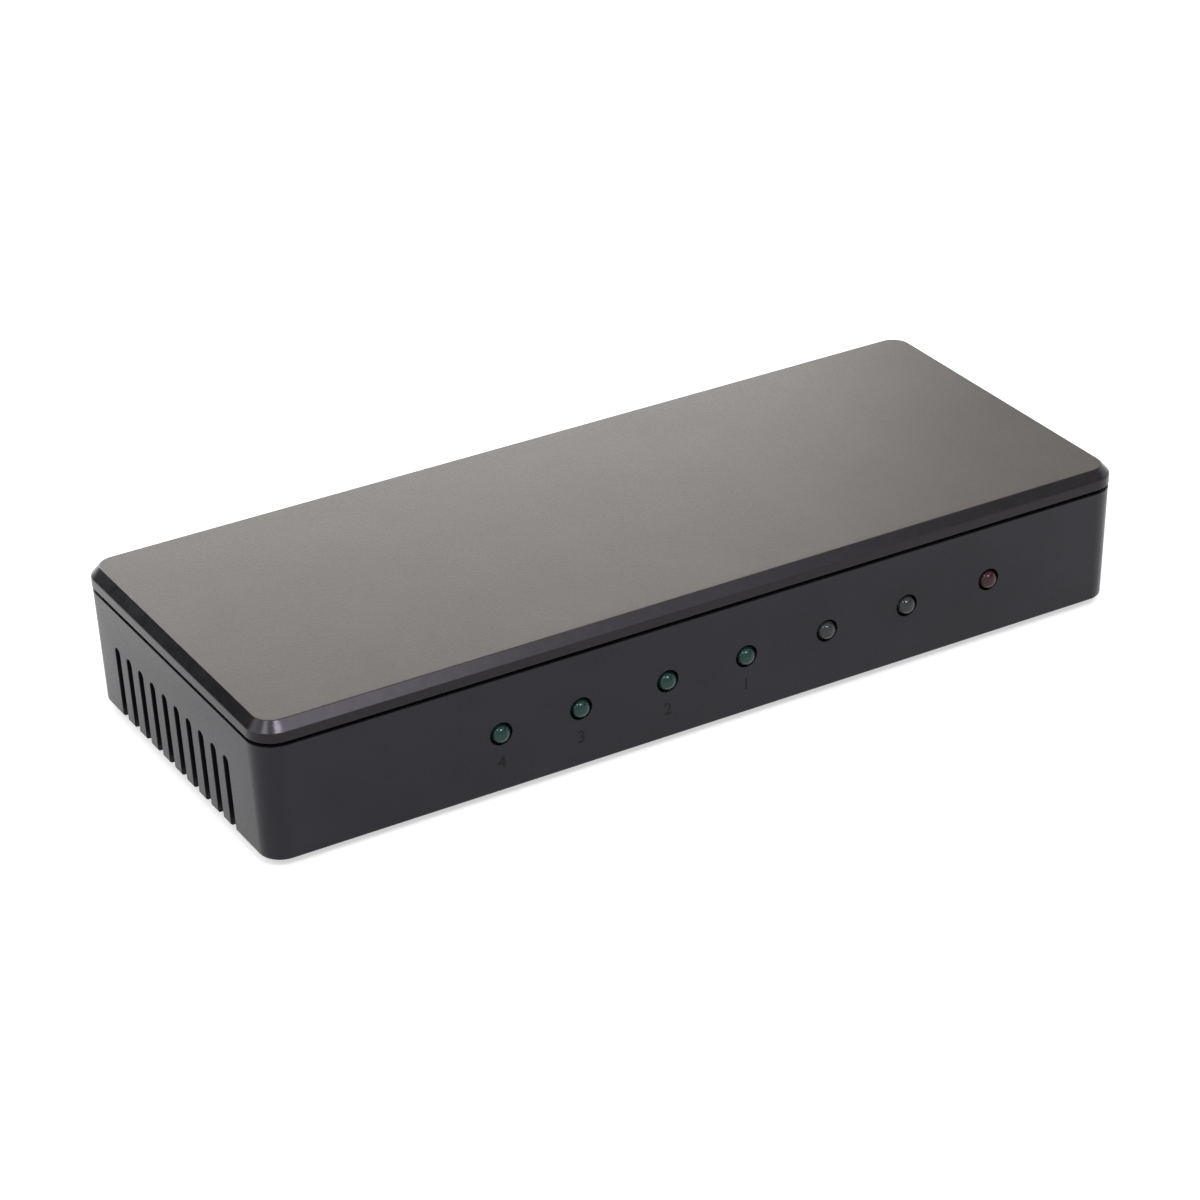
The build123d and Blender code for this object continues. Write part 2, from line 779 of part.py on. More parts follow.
pad_z = board_top_z + chip_lift + chip_height
with BuildPart() as thermal_pad:
    with BuildSketch(Plane.XY.offset(pad_z)):
        with Locations((chip_x, chip_y)):
            Rectangle(pad_size, pad_size)
    extrude(amount=pad_thickness)
save(thermal_pad.part, "thermal_pad")

sink_z = pad_z + pad_thickness
with BuildPart() as heat_sink:
    with BuildSketch(Plane.XY.offset(sink_z)):
        with Locations((chip_x, chip_y)):
            Rectangle(sink_size, sink_size)
    extrude(amount=sink_base)
    fin_pitch = (sink_size - sink_fin_thickness) / (sink_fin_count - 1)
    with BuildSketch(Plane.XY.offset(sink_z + sink_base)):
        with Locations(*[(chip_x + step, chip_y) for step in centred(sink_fin_count, fin_pitch)]):
            Rectangle(sink_fin_thickness, sink_size)
    extrude(amount=sink_fin_height)
save(heat_sink.part, "heat_sink")

# Memory chips, one in line with each socket
with BuildPart() as memory_chips:
    with BuildSketch(Plane.XY.offset(board_top_z + memory_lift)):
        with Locations(*[(x, memory_y) for x in socket_xs]):
            Rectangle(memory_length, memory_width)
    extrude(amount=memory_height)
save(memory_chips.part, "memory_chips")

memory_lead = flat_lead(
    memory_lead_reach,
    memory_lift + memory_height / 2,
    memory_lead_foot,
    memory_lead_thickness,
    memory_lead_width,
)
with BuildPart() as memory_chip_leads:
    with Locations(*[(x, memory_y, board_top_z) for x in socket_xs]):
        with PolarLocations(memory_width / 2, 2, start_angle=90):
            with GridLocations(memory_lead_pitch, memory_lead_pitch, 1, memory_leads_per_side):
                add(memory_lead)
save(memory_chip_leads.part, "memory_chip_leads")

with BuildPart() as protection_arrays:
    with BuildSketch(Plane.XY.offset(board_top_z)):
        with Locations(*[(x + step, array_y) for x in socket_xs for step in centred(2, array_spacing)]):
            Rectangle(array_length, array_width)
    extrude(amount=array_height)
save(protection_arrays.part, "protection_arrays")

# Voltage regulator, three leads on one side and a wide tab on the other
regulator_x = regulator_x_share * board_length
regulator_y = regulator_y_share * board_width
with BuildPart() as regulator:
    with BuildSketch(Plane.XY.offset(board_top_z + regulator_lift)):
        with Locations((regulator_x, regulator_y)):
            Rectangle(regulator_length, regulator_width)
    extrude(amount=regulator_height)
save(regulator.part, "regulator")

with BuildPart() as regulator_leads:
    for angle, count, width in ((-90, 3, regulator_lead_width), (90, 1, regulator_tab_width)):
        regulator_lead = flat_lead(
            regulator_lead_reach,
            regulator_lift + regulator_height / 2,
            regulator_lead_foot,
            regulator_lead_thickness,
            width,
        )
        with Locations((regulator_x, regulator_y, board_top_z)):
            with PolarLocations(regulator_width / 2, 1, start_angle=angle):
                with GridLocations(regulator_lead_pitch, regulator_lead_pitch, 1, count):
                    add(regulator_lead)
save(regulator_leads.part, "regulator_leads")

# Crystal can on its rim
crystal_place = (crystal_x_share * board_length, crystal_y_share * board_width)
with BuildPart() as crystal:
    for height, grow in ((crystal_base_height, crystal_base_rim), (crystal_height, 0)):
        with BuildSketch(Plane.XY.offset(board_top_z)):
            with Locations(crystal_place):
                SlotOverall(crystal_length + 2 * grow, crystal_width + 2 * grow)
        extrude(amount=height)
    fillet(crystal.edges().group_by(Axis.Z)[-1], crystal_base_rim)
save(crystal.part, "crystal")

# Electrolytic capacitors: cans with a rolled groove, on chamfered bases
capacitor_places = [
    (x_share * board_length, y_share * board_width)
    for x_share, y_share in zip(capacitor_x_shares, capacitor_y_shares)
]
with BuildPart() as capacitor_bases:
    with BuildSketch(Plane.XY.offset(board_top_z)):
        with Locations(*capacitor_places):
            Rectangle(capacitor_base_size, capacitor_base_size)
    extrude(amount=capacitor_base_height)
    front_edges = capacitor_bases.edges().filter_by(Axis.Z)
    chamfer(
        [
            edge
            for edge in front_edges
            if any(
                abs(edge.center().Y - y + capacitor_base_size / 2) < capacitor_edge_radius
                and abs(edge.center().X - x) < capacitor_base_size
                for x, y in capacitor_places
            )
        ],
        capacitor_base_chamfer,
    )
save(capacitor_bases.part, "capacitor_bases")

can_z = board_top_z + capacitor_base_height
with BuildPart() as electrolytic_capacitors:
    with BuildSketch(Plane.XY.offset(can_z)):
        with Locations(*capacitor_places):
            Circle(capacitor_radius)
    extrude(amount=capacitor_height)
    rims = electrolytic_capacitors.edges().filter_by(GeomType.CIRCLE).group_by(Axis.Z)
    fillet([*rims[0], *rims[-1]], capacitor_edge_radius)
    for place in capacitor_places:
        with Locations((*place, can_z + capacitor_groove_height)):
            Torus(capacitor_radius + capacitor_groove_radius / 2, capacitor_groove_radius, mode=Mode.SUBTRACT)
save(electrolytic_capacitors.part, "electrolytic_capacitors")

# Shielded inductor: a chamfered ring of ferrite, and the drum core inside it
inductor_place = (inductor_x_share * board_length, inductor_y_share * board_width)
with BuildPart() as inductor_frame:
    with BuildSketch(Plane.XY.offset(board_top_z)):
        with Locations(inductor_place):
            Rectangle(inductor_size, inductor_size)
    extrude(amount=inductor_height)
    chamfer(inductor_frame.edges().filter_by(Axis.Z), inductor_chamfer)
    with BuildSketch(Plane.XY.offset(board_top_z)):
        with Locations(inductor_place):
            Circle(inductor_size / 2 - inductor_rim / 2)
    extrude(amount=inductor_height, mode=Mode.SUBTRACT)
save(inductor_frame.part, "inductor_frame")

with BuildPart() as inductor_core:
    with BuildSketch(Plane.XY.offset(board_top_z)):
        with Locations(inductor_place):
            Circle(inductor_core_radius)
    extrude(amount=inductor_height - inductor_core_drop)
save(inductor_core.part, "inductor_core")

# Chip capacitors in a column on each side of the splitter chip, and one resistor behind each lamp
column_x = sink_size / 2 + small_chip_gap
with BuildPart() as chip_capacitors:
    with BuildSketch(Plane.XY.offset(board_top_z)):
        for side in (-1, 1):
            for step in centred(small_chip_rows, small_chip_y_spacing):
                with Locations((chip_x + side * column_x, chip_y + step)):
                    Rectangle(small_chip_length, small_chip_width)
    extrude(amount=small_chip_height)
save(chip_capacitors.part, "chip_capacitors")

with BuildPart() as chip_resistors:
    with BuildSketch(Plane.XY.offset(board_top_z)):
        with Locations(*[(x, leg_drop_y + lamp_resistor_gap) for x in lamp_xs]):
            Rectangle(small_chip_length, small_chip_width)
    extrude(amount=small_chip_height)
save(chip_resistors.part, "chip_resistors")
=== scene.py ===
import math
import bmesh
import bpy
from mathutils import Matrix, Quaternion, Vector


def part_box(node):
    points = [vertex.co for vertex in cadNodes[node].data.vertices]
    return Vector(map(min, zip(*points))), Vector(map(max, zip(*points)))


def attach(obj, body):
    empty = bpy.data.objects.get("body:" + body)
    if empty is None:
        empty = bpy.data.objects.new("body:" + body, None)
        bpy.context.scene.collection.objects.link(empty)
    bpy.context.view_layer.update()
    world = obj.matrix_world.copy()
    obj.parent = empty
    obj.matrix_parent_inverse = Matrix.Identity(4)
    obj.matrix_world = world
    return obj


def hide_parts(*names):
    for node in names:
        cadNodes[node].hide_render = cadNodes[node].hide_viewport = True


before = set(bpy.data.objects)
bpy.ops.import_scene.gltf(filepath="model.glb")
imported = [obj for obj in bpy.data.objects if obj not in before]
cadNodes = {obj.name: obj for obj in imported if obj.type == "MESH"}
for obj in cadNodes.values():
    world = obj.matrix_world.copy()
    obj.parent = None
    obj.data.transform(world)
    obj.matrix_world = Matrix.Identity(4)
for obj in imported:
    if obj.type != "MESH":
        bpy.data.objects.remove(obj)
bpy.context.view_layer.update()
mm = 0.001
print("frame loaded,", len(cadNodes), "nodes")


def startMaterial(name):
    material = bpy.data.materials.new(name)
    material.use_nodes = True
    spot = material.node_tree.nodes.new("ShaderNodeTexCoord").outputs["Object"]
    return material, material.node_tree.nodes["Principled BSDF"], spot


def connect(material, node, inputs):
    for socket, value in inputs.items():
        if isinstance(value, bpy.types.NodeSocket):
            material.node_tree.links.new(value, node.inputs[socket])
        else:
            node.inputs[socket].default_value = value


def addNode(material, kind, inputs, **settings):
    node = material.node_tree.nodes.new("ShaderNode" + kind)
    for key, value in settings.items():
        setattr(node, key, value)
    connect(material, node, inputs)
    return node


# Noise with features of about this many millimetres
def mottle(material, spot, size):
    inputs = {"Vector": spot, "Scale": 1 / (size * mm), "Detail": 3.0}
    return addNode(material, "TexNoise", inputs).outputs["Fac"]


# A number that follows a pattern from low to high
def follow(material, amount, low, high, start=0.3, end=0.7):
    inputs = {"Value": amount, "From Min": start, "From Max": end, "To Min": low, "To Max": high}
    return addNode(material, "MapRange", inputs).outputs["Result"]


# A colour that follows a pattern from dark to light
def tint(material, amount, dark, light, start=0.3, end=0.7):
    ramp = addNode(material, "ValToRGB", {"Fac": amount})
    for element, place, colour in zip(ramp.color_ramp.elements, (start, end), (dark, light)):
        element.position = place
        element.color = (*colour, 1)
    return ramp.outputs["Color"]


# The common finish: clouded colour, roughness and bump from a grain, lines where it is stretched
def finish(name, look):
    material, shader, spot = startMaterial(name)
    grainSpot = spot
    if "stretch" in look:
        grainSpot = addNode(material, "Mapping", {"Vector": spot, "Scale": look["stretch"]}).outputs["Vector"]
    cloud = mottle(material, spot, look["cloudSize"])
    grain = mottle(material, grainSpot, look["grainSize"])
    bump = addNode(material, "Bump", {
        "Height": grain,
        "Strength": look["grainStrength"],
        "Distance": look["grainDepth"] * mm,
    })
    connect(material, shader, {
        "Base Color": tint(material, cloud, look["dark"], look["light"]),
        "Roughness": follow(material, grain, look["smooth"], look["rough"]),
        "Normal": bump.outputs["Normal"],
        "Metallic": look.get("metal", 0.0),
        "Transmission Weight": look.get("clear", 0.0),
        "IOR": look.get("ior", 1.5),
        "Specular Tint": (*look.get("glossTint", (1, 1, 1)), 1),
    })
    return material


finishLooks = {
    "sparkLid": {
        "dark": (0.042, 0.036, 0.033), "light": (0.052, 0.045, 0.041), "cloudSize": 14,
        "grainSize": 0.24, "smooth": 0.34, "rough": 0.48, "grainStrength": 0.70, "grainDepth": 0.04,
        "glossTint": (1.0, 0.90, 0.85),
    },
    "polishedLid": {
        "dark": (0.010, 0.010, 0.011), "light": (0.014, 0.013, 0.014), "cloudSize": 9,
        "grainSize": 1.5, "smooth": 0.16, "rough": 0.24, "grainStrength": 0.10, "grainDepth": 0.01,
        "glossTint": (0.94, 0.86, 1.0),
    },
    # Painted shade: the upright lip is the polished lid plastic made darker and less reflective
    "lipPaintedShade": {
        "dark": (0.006, 0.006, 0.006), "light": (0.009, 0.008, 0.009), "cloudSize": 9,
        "grainSize": 1.2, "smooth": 0.18, "rough": 0.26, "grainStrength": 0.10, "grainDepth": 0.01,
        "glossTint": (0.94, 0.86, 1.0), "ior": 1.33,
    },
    "satinTray": {
        "dark": (0.008, 0.0075, 0.009), "light": (0.012, 0.0115, 0.014), "cloudSize": 11,
        "grainSize": 0.30, "smooth": 0.26, "rough": 0.34, "grainStrength": 0.20, "grainDepth": 0.012,
        "glossTint": (0.92, 0.87, 1.0), "ior": 1.33,
    },
    # Painted shade: the numerals are the case plastic, drawn darker and less reflective than the tray
    "numeralPaintedShade": {
        "dark": (0.004, 0.004, 0.005), "light": (0.007, 0.007, 0.008), "cloudSize": 2,
        "grainSize": 0.15, "smooth": 0.45, "rough": 0.60, "grainStrength": 0.30, "grainDepth": 0.01,
        "ior": 1.25,
    },
    "lensGreen": {
        "dark": (0.007, 0.036, 0.030), "light": (0.012, 0.050, 0.043), "cloudSize": 3,
        "grainSize": 1.0, "smooth": 0.04, "rough": 0.08, "grainStrength": 0.02, "grainDepth": 0.005,
        "clear": 0.5, "glossTint": (0.70, 1.0, 0.94), "ior": 1.45,
    },
    "lensClear": {
        "dark": (0.042, 0.045, 0.048), "light": (0.062, 0.065, 0.068), "cloudSize": 3,
        "grainSize": 1.0, "smooth": 0.05, "rough": 0.10, "grainStrength": 0.02, "grainDepth": 0.005,
        "clear": 0.5, "ior": 1.4,
    },
    "lensRed": {
        "dark": (0.045, 0.013, 0.015), "light": (0.066, 0.018, 0.021), "cloudSize": 3,
        "grainSize": 1.0, "smooth": 0.05, "rough": 0.10, "grainStrength": 0.02, "grainDepth": 0.005,
        "clear": 0.4, "ior": 1.36,
    },
    "tinnedWire": {
        "dark": (0.60, 0.60, 0.58), "light": (0.76, 0.76, 0.74), "cloudSize": 1.2, "metal": 1.0,
        "grainSize": 0.12, "smooth": 0.22, "rough": 0.38, "grainStrength": 0.20, "grainDepth": 0.01,
    },
    "lampHolder": {
        "dark": (0.020, 0.020, 0.021), "light": (0.032, 0.032, 0.033), "cloudSize": 2,
        "grainSize": 0.12, "smooth": 0.45, "rough": 0.60, "grainStrength": 0.30, "grainDepth": 0.012,
    },
    "nickelSheet": {
        "dark": (0.56, 0.55, 0.53), "light": (0.72, 0.71, 0.68), "cloudSize": 2.5, "metal": 1.0,
        "stretch": (1, 0.06, 1), "grainSize": 0.07, "smooth": 0.20, "rough": 0.34,
        "grainStrength": 0.25, "grainDepth": 0.006,
    },
    "nylonBlock": {
        "dark": (0.016, 0.016, 0.018), "light": (0.028, 0.028, 0.031), "cloudSize": 2,
        "grainSize": 0.10, "smooth": 0.38, "rough": 0.52, "grainStrength": 0.25, "grainDepth": 0.01,
    },
    "goldFlash": {
        "dark": (0.72, 0.50, 0.20), "light": (0.90, 0.70, 0.34), "cloudSize": 0.8, "metal": 1.0,
        "grainSize": 0.06, "smooth": 0.18, "rough": 0.30, "grainStrength": 0.15, "grainDepth": 0.005,
    },
    "jackMould": {
        "dark": (0.018, 0.018, 0.019), "light": (0.030, 0.030, 0.032), "cloudSize": 3,
        "grainSize": 0.14, "smooth": 0.32, "rough": 0.46, "grainStrength": 0.25, "grainDepth": 0.012,
    },
    "chipResin": {
        "dark": (0.024, 0.024, 0.026), "light": (0.042, 0.042, 0.044), "cloudSize": 2,
        "grainSize": 0.08, "smooth": 0.50, "rough": 0.66, "grainStrength": 0.35, "grainDepth": 0.012,
    },
    "siliconePad": {
        "dark": (0.46, 0.48, 0.52), "light": (0.60, 0.62, 0.66), "cloudSize": 1.2,
        "grainSize": 0.25, "smooth": 0.62, "rough": 0.80, "grainStrength": 0.30, "grainDepth": 0.03,
    },
    "anodisedSink": {
        "dark": (0.40, 0.41, 0.43), "light": (0.56, 0.57, 0.59), "cloudSize": 5, "metal": 1.0,
        "stretch": (1, 0.05, 1), "grainSize": 0.10, "smooth": 0.34, "rough": 0.50,
        "grainStrength": 0.30, "grainDepth": 0.012,
    },
    "drawnCan": {
        "dark": (0.64, 0.64, 0.65), "light": (0.78, 0.78, 0.79), "cloudSize": 3, "metal": 1.0,
        "stretch": (1, 1, 0.08), "grainSize": 0.08, "smooth": 0.24, "rough": 0.36,
        "grainStrength": 0.20, "grainDepth": 0.006,
    },
    "firedFerrite": {
        "dark": (0.075, 0.075, 0.080), "light": (0.13, 0.13, 0.135), "cloudSize": 0.8,
        "grainSize": 0.12, "smooth": 0.55, "rough": 0.75, "grainStrength": 0.50, "grainDepth": 0.03,
    },
    "firedCeramic": {
        "dark": (0.38, 0.30, 0.21), "light": (0.54, 0.45, 0.34), "cloudSize": 0.6,
        "grainSize": 0.08, "smooth": 0.40, "rough": 0.56, "grainStrength": 0.25, "grainDepth": 0.01,
    },
    "zincScrew": {
        "dark": (0.50, 0.50, 0.48), "light": (0.66, 0.66, 0.63), "cloudSize": 0.9, "metal": 1.0,
        "grainSize": 0.10, "smooth": 0.26, "rough": 0.42, "grainStrength": 0.25, "grainDepth": 0.01,
    },
    "footRubber": {
        "dark": (0.020, 0.020, 0.020), "light": (0.036, 0.035, 0.034), "cloudSize": 2,
        "grainSize": 0.16, "smooth": 0.70, "rough": 0.88, "grainStrength": 0.45, "grainDepth": 0.03,
    },
}
finishes = {name: finish(name, look) for name, look in finishLooks.items()}


# Circuit board: solder mask with raised copper tracks under it, and tinned through holes
boardLook = {
    "maskDark": (0.012, 0.075, 0.030), "maskLight": (0.030, 0.150, 0.060), "tin": (0.66, 0.66, 0.62),
    "trackSize": 5.0, "trackBend": 5.0, "trackEdge": (0.52, 0.58), "trackHeight": 0.05, "trackStrength": 0.6,
    "holeSpacing": 2.6, "holeShare": 0.13, "rimShare": 1.2, "cloudSize": 0.8, "smooth": 0.22, "rough": 0.36,
}


def boardFinish(look):
    material, shader, spot = startMaterial("boardMask")
    tracks = addNode(material, "TexWave", {
        "Vector": spot,
        "Scale": 1 / (look["trackSize"] * mm),
        "Distortion": look["trackBend"],
        "Detail": 0.0,
    }, bands_direction="DIAGONAL").outputs["Fac"]
    raised = follow(material, tracks, 0.0, 1.0, *look["trackEdge"])
    holes = addNode(material, "TexVoronoi", {"Vector": spot, "Scale": 1 / (look["holeSpacing"] * mm)})
    holeRim = look["holeShare"] * look["rimShare"]
    tinned = follow(material, holes.outputs["Distance"], 1.0, 0.0, look["holeShare"], holeRim)
    colour = addNode(material, "MixRGB", {
        "Fac": tinned,
        "Color1": tint(material, raised, look["maskDark"], look["maskLight"], 0.0, 1.0),
        "Color2": (*look["tin"], 1),
    })
    bump = addNode(material, "Bump", {
        "Height": raised,
        "Strength": look["trackStrength"],
        "Distance": look["trackHeight"] * mm,
    })
    cloud = mottle(material, spot, look["cloudSize"])
    connect(material, shader, {
        "Base Color": colour.outputs["Color"],
        "Metallic": tinned,
        "Roughness": follow(material, cloud, look["smooth"], look["rough"]),
        "Normal": bump.outputs["Normal"],
    })
    return material


finishes["boardMask"] = boardFinish(boardLook)
print("materials made,", len(finishes))


# An object with this mesh, at the origin and in the scene
def meshObject(name, bm):
    mesh = bpy.data.meshes.new(name)
    bm.to_mesh(mesh)
    bm.free()
    made = bpy.data.objects.new(name, mesh)
    bpy.context.scene.collection.objects.link(made)
    return made


def addPiece(name, bm, looks, slot, *replaced):
    piece = meshObject(name, bm)
    for look in looks:
        piece.data.materials.append(finishes[look])
    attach(piece, "root")
    if replaced:
        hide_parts(*replaced)
    return piece


def smoothBelow(piece, degrees):
    piece.data.shade_smooth()
    piece.data.set_sharp_from_angle(angle=math.radians(degrees))


# Corners closer than the weld's reach become one, and facets flatter than flatDegrees join
weldReach = 0.0005
softLook = {"flatDegrees": 0.4, "sharpDegrees": 30, "segments": 2}


# A merged copy of a CAD node with its edges softened, as a mould leaves them
def softenedCopy(node, name, looks, slot, edge):
    bm = bmesh.new()
    bm.from_mesh(cadNodes[node].data)
    bmesh.ops.remove_doubles(bm, verts=bm.verts, dist=weldReach * mm)
    flat = math.radians(softLook["flatDegrees"])
    bmesh.ops.dissolve_limit(bm, angle_limit=flat, verts=bm.verts, edges=bm.edges)
    piece = addPiece(name, bm, looks, slot, node)
    for left in ("custom_normal", "sharp_edge"):
        if left in piece.data.attributes:
            piece.data.attributes.remove(piece.data.attributes[left])
    smoothBelow(piece, softLook["sharpDegrees"])
    soften = piece.modifiers.new("softEdges", "BEVEL")
    soften.width = edge * mm
    soften.segments = softLook["segments"]
    soften.limit_method = "ANGLE"
    soften.angle_limit = math.radians(softLook["sharpDegrees"])
    soften.use_clamp_overlap = False
    soften.harden_normals = True
    return piece


# Lid: matte spark texture on the flat of the top, polished bevel, and an upright lip in a darker, less
# reflective copy of the bevel's plastic, which is painted shade
lidLook = {"edge": 0.13, "topMargin": 0.05, "level": 0.99, "upright": 0.2}
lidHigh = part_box("top_cover")[1]
lid = softenedCopy("top_cover", "lid", ["polishedLid", "sparkLid", "lipPaintedShade"], "lid_plastic", lidLook["edge"])
for face in lid.data.polygons:
    if face.normal.z > lidLook["level"] and face.center.z > lidHigh.z - lidLook["topMargin"] * mm:
        face.material_index = 1
    # Upright faces take the darker lip copy, painted shade on the same plastic
    elif abs(face.normal.z) < lidLook["upright"]:
        face.material_index = 2

# Tray with its lamp holes, sockets' openings and vent slots
trayLook = {"edge": 0.10}
softenedCopy("bottom_case", "tray", ["satinTray"], "case_plastic", trayLook["edge"])
print("lid and tray dressed")


# Lens of one lamp: a dome, its barrel and a flange, closed at the back
lensLook = {
    "radius": 1.5, "flangeRadius": 1.9, "flangeThick": 1.0, "length": 5.0,
    "around": 48, "rings": 24, "cutReach": 0.0001, "sharpDegrees": 40,
}
cupLook = {
    "rimRadius": 0.62, "footRadius": 0.40, "depth": 0.45, "wall": 0.06, "wallSides": 24, "behindCentre": 1.0,
    "die": 0.30, "dieShare": 0.5, "dieDrop": 0.08,
    "postWidth": 0.34, "postSpacing": 1.27, "postLength": 2.1, "postDrop": 0.25, "sharpDegrees": 35,
}
lampTints = {
    "lamp_output_4": ("lensGreen", "lens_green"),
    "lamp_output_3": ("lensGreen", "lens_green"),
    "lamp_output_2": ("lensGreen", "lens_green"),
    "lamp_output_1": ("lensGreen", "lens_green"),
    "lamp_input": ("lensClear", "lens_clear"),
    "lamp_link": ("lensClear", "lens_clear"),
    "lamp_power": ("lensRed", "lens_red"),
}


# Draws the open rim of a turned shape on, down by this much and wider by this share
def pullRim(bm, down, wider=1.0):
    rim = [edge for edge in bm.edges if edge.is_boundary]
    made = bmesh.ops.extrude_edge_only(bm, edges=rim)["geom"]
    fresh = [part for part in made if isinstance(part, bmesh.types.BMVert)]
    bmesh.ops.scale(bm, vec=(wider, wider, 1), verts=fresh)
    bmesh.ops.translate(bm, vec=(0, 0, -down * mm), verts=fresh)


def closeRim(bm):
    bmesh.ops.edgeloop_fill(bm, edges=[edge for edge in bm.edges if edge.is_boundary])
    bmesh.ops.recalc_face_normals(bm, faces=bm.faces)


# Turns a shape that points up so that it points out of the front, and puts it there
def turnToFront(bm, place):
    bmesh.ops.rotate(bm, verts=bm.verts, cent=(0, 0, 0), matrix=Matrix.Rotation(math.pi / 2, 3, "X"))
    bmesh.ops.translate(bm, vec=place, verts=bm.verts)


# Gives back the dome's centre
def buildLens(node, finishName, slot):
    look = lensLook
    low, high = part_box(node)
    bm = bmesh.new()
    bmesh.ops.create_uvsphere(
        bm, u_segments=look["around"], v_segments=look["rings"], radius=look["radius"] * mm,
    )
    bmesh.ops.bisect_plane(
        bm, geom=bm.verts[:] + bm.edges[:] + bm.faces[:], dist=look["cutReach"] * mm,
        plane_co=(0, 0, 0), plane_no=(0, 0, 1), clear_inner=True,
    )
    pullRim(bm, look["length"] - look["radius"] - look["flangeThick"])
    pullRim(bm, 0, look["flangeRadius"] / look["radius"])
    pullRim(bm, look["flangeThick"])
    closeRim(bm)
    centre = Vector(((low.x + high.x) / 2, low.y + look["radius"] * mm, (low.z + high.z) / 2))
    turnToFront(bm, centre)
    lens = addPiece(node + "_lens", bm, [finishName], slot, node)
    smoothBelow(lens, look["sharpDegrees"])
    return centre


# Inside each lens: the reflector cup, the die in it, and the two posts that become the legs
def buildCup(node, centre):
    look = cupLook
    bm = bmesh.new()
    bmesh.ops.create_cone(
        bm, cap_ends=False, segments=look["wallSides"], radius1=look["footRadius"] * mm,
        radius2=look["rimRadius"] * mm, depth=look["depth"] * mm,
    )
    lowRim = [edge for edge in bm.edges if edge.is_boundary and edge.verts[0].co.z < 0]
    bmesh.ops.edgeloop_fill(bm, edges=lowRim)
    bmesh.ops.solidify(bm, geom=bm.faces[:], thickness=look["wall"] * mm)
    bmesh.ops.recalc_face_normals(bm, faces=bm.faces)
    die = bmesh.ops.create_cube(bm, size=look["die"] * mm)["verts"]
    bmesh.ops.scale(bm, vec=(1, 1, look["dieShare"]), verts=die)
    bmesh.ops.translate(bm, vec=(0, 0, -look["dieDrop"] * mm), verts=die)
    postZ = -(look["postLength"] / 2 + look["postDrop"])
    for side in (-1, 1):
        post = bmesh.ops.create_cube(bm, size=mm)["verts"]
        bmesh.ops.scale(bm, vec=(look["postWidth"], look["postWidth"], look["postLength"]), verts=post)
        bmesh.ops.translate(bm, vec=Vector((side * look["postSpacing"] / 2, 0, postZ)) * mm, verts=post)
    turnToFront(bm, centre + Vector((0, look["behindCentre"] * mm, 0)))
    cup = addPiece(node + "_cup", bm, ["tinnedWire"], "tinned_wire")
    smoothBelow(cup, look["sharpDegrees"])


for node, (finishName, slot) in lampTints.items():
    buildCup(node, buildLens(node, finishName, slot))
print("lamps built,", len(lampTints))


# Plain numerals below the four outputs' lamps, a hair proud of the drafted front, and over their sockets;
# their darker colour and weaker reflection are painted shade, where the real numerals are moulded in the
# case's own plastic
numeralLook = {
    "size": 2.9, "thick": 0.02, "frontZ": 6.0, "rearZ": 15.6,
    "rimSetback": 0.1, "draft": 0.66, "rimZ": 19.95, "undersideZ": 1.2,
}


# How far the drafted wall stands back from the lid's edge at this height
def wallInset(z):
    look = numeralLook
    return look["rimSetback"] + look["draft"] * (look["rimZ"] - z) / (look["rimZ"] - look["undersideZ"])


def buildNumeral(text, name, x, z, facesFront):
    look = numeralLook
    curve = bpy.data.curves.new(name, "FONT")
    curve.body = text
    curve.align_x = "CENTER"
    curve.align_y = "CENTER"
    curve.size = look["size"] * mm
    curve.extrude = look["thick"] * mm
    drawn = bpy.data.objects.new(name + "_drawn", curve)
    mesh = bpy.data.meshes.new_from_object(drawn)
    bpy.data.objects.remove(drawn)
    lean = math.atan(look["draft"] / (look["rimZ"] - look["undersideZ"]))
    side, turnAbout = (-1, 0) if facesFront else (1, math.pi)
    turn = Matrix.Rotation(turnAbout, 4, "Z") @ Matrix.Rotation(math.pi / 2 + lean, 4, "X")
    place = Matrix.Translation(Vector((x, side * (lidHigh.y / mm - wallInset(z)), z)) * mm)
    mesh.transform(place @ turn)
    bm = bmesh.new()
    bm.from_mesh(mesh)
    bpy.data.meshes.remove(mesh)
    bmesh.ops.remove_doubles(bm, verts=bm.verts, dist=weldReach * mm)
    addPiece(name, bm, ["numeralPaintedShade"], "case_plastic")


def middleX(node):
    low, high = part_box(node)
    return (low.x + high.x) / 2 / mm


for number in ("4", "3", "2", "1"):
    frontX, rearX = middleX("lamp_output_" + number), middleX(f"video_out_{number}_shell")
    buildNumeral(number, "front_numeral_" + number, frontX, numeralLook["frontZ"], True)
    buildNumeral(number, "rear_numeral_" + number, rearX, numeralLook["rearZ"], False)
print("numerals set")


# Sockets and power inlet with the small radii of folded sheet and moulding
rearLook = {"shellEdge": 0.05, "jackEdge": 0.12, "insulatorEdge": 0.05}
socketNames = ["video_in", "video_out_1", "video_out_2", "video_out_3", "video_out_4"]
for name in socketNames:
    softenedCopy(name + "_shell", name + "_socket", ["nickelSheet"], "socket_steel", rearLook["shellEdge"])
    softenedCopy(
        name + "_insulator", name + "_block", ["nylonBlock"], "socket_insulator", rearLook["insulatorEdge"],
    )
softenedCopy("power_jack_housing", "power_inlet_housing", ["jackMould"], "jack_plastic", rearLook["jackEdge"])
print("rear dressed")


